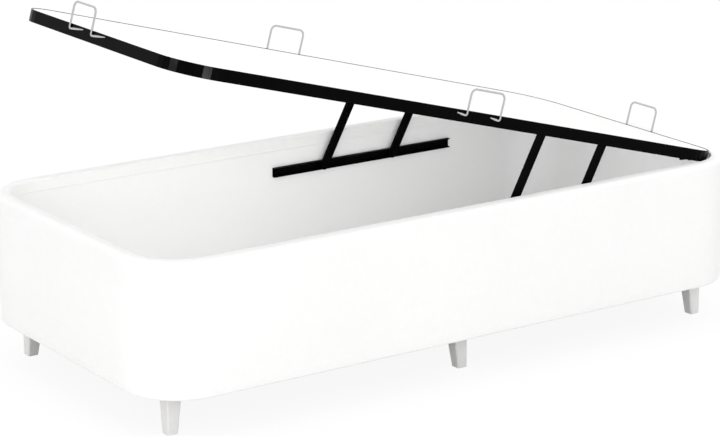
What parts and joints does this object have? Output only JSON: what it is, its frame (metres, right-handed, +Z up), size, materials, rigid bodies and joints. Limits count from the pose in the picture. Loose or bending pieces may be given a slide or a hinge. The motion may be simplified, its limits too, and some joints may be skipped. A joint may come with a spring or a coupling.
{
  "type": "divan base",
  "caption": "Single upholstered bed base on short legs, with a storage shell and a thin lift-up lid hinged at the head end, held by stays and fitted with wire mattress retainers.",
  "frame": {"origin": "centre of the footprint on the floor", "axes": "+X towards the head end, where the lid is hinged; +Y towards the far side in the picture; +Z up"},
  "size_m": [1.975, 0.975, 1.0485],
  "materials": {
    "upholstery": "smooth white upholstery cloth",
    "lid_cloth": "smooth white cloth",
    "lining": "smooth light lining",
    "foam": "foam",
    "plywood": "plain plywood",
    "bottom_cloth": "thin non-woven cloth",
    "leg": "light grey paint",
    "steel": "zinc plated",
    "black_steel": "satin black paint",
    "rod": "bright plated",
    "rubber": "matt"
  },
  "bodies": {
    "base": {"side_panel_near": "plywood", "side_panel_far": "plywood", "end_panel_head": "plywood", "end_panel_foot": "plywood", "corner_panel_head_near": "plywood", "corner_panel_head_far": "plywood", "corner_panel_foot_near": "plywood", "corner_panel_foot_far": "plywood", "foam_padding": "foam", "upholstery_cover": "upholstery", "inner_lining": "lining", "cross_rail_1": "plywood", "cross_rail_2": "plywood", "cross_rail_3": "plywood", "cross_rail_4": "plywood", "cross_rail_5": "plywood", "floor_board_foot": "plywood", "floor_board_head": "plywood", "bottom_cloth": "bottom_cloth", "leg_foot_near": "leg", "leg_foot_far": "leg", "leg_middle_near": "leg", "leg_middle_far": "leg", "leg_head_near": "leg", "leg_head_far": "leg", "leg_bolt_foot_near": "steel", "leg_bolt_foot_far": "steel", "leg_bolt_middle_near": "steel", "leg_bolt_middle_far": "steel", "leg_bolt_head_near": "steel", "leg_bolt_head_far": "steel", "stay_channel_near": "black_steel", "stay_channel_far": "black_steel", "hinge_bracket_near": "black_steel", "hinge_bracket_far": "black_steel", "hinge_pin_near": "steel", "hinge_pin_far": "steel", "foot_rest": "plywood", "rest_strip": "rubber"},
    "lid": {"lid_frame": "black_steel", "lid_board": "plywood", "lid_cover": "lid_cloth", "lid_bar_1": "black_steel", "lid_bar_2": "black_steel", "lid_bar_3": "black_steel", "lid_bar_4": "black_steel", "hinge_leaf_near": "black_steel", "hinge_leaf_far": "black_steel", "stay_pin_foot_near": "black_steel", "stay_pin_foot_far": "black_steel", "stay_pin_head_near": "black_steel", "stay_pin_head_far": "black_steel", "retainer_near": "rod", "retainer_far": "rod", "retainer_foot": "rod", "retainer_head": "rod"},
    "stay_foot_near": {"stay_foot_near": "black_steel"},
    "stay_foot_far": {"stay_foot_far": "black_steel"},
    "stay_head_near": {"stay_head_near": "black_steel"},
    "stay_head_far": {"stay_head_far": "black_steel"}
  },
  "joints": [
    {"name": "lid_hinge", "type": "hinge", "parent": "base", "child": "lid", "pos_m": [0.926, 0, 0.469], "axis": [0, 1, 0], "range_deg": [-15.5, 0]},
    {"name": "stay_foot_near_turn", "type": "hinge", "parent": "lid", "child": "stay_foot_near", "pos_m": [0.27341, -0.4338, 0.64168], "axis": [0, 1, 0], "range_deg": [0, 62.22]},
    {"name": "stay_foot_far_turn", "type": "hinge", "parent": "lid", "child": "stay_foot_far", "pos_m": [0.27341, 0.4338, 0.64168], "axis": [0, 1, 0], "range_deg": [0, 62.22]},
    {"name": "stay_head_near_turn", "type": "hinge", "parent": "lid", "child": "stay_head_near", "pos_m": [0.49023, -0.4338, 0.58155], "axis": [0, 1, 0], "range_deg": [0, 57.37]},
    {"name": "stay_head_far_turn", "type": "hinge", "parent": "lid", "child": "stay_head_far", "pos_m": [0.49023, 0.4338, 0.58155], "axis": [0, 1, 0], "range_deg": [0, 57.37]}
  ],
  "couplings": [
    {"joint": "stay_foot_near_turn", "follows": "lid_hinge", "ratio": -4.0139},
    {"joint": "stay_foot_far_turn", "follows": "lid_hinge", "ratio": -4.0139},
    {"joint": "stay_head_near_turn", "follows": "lid_hinge", "ratio": -3.7011},
    {"joint": "stay_head_far_turn", "follows": "lid_hinge", "ratio": -3.7011}
  ]
}
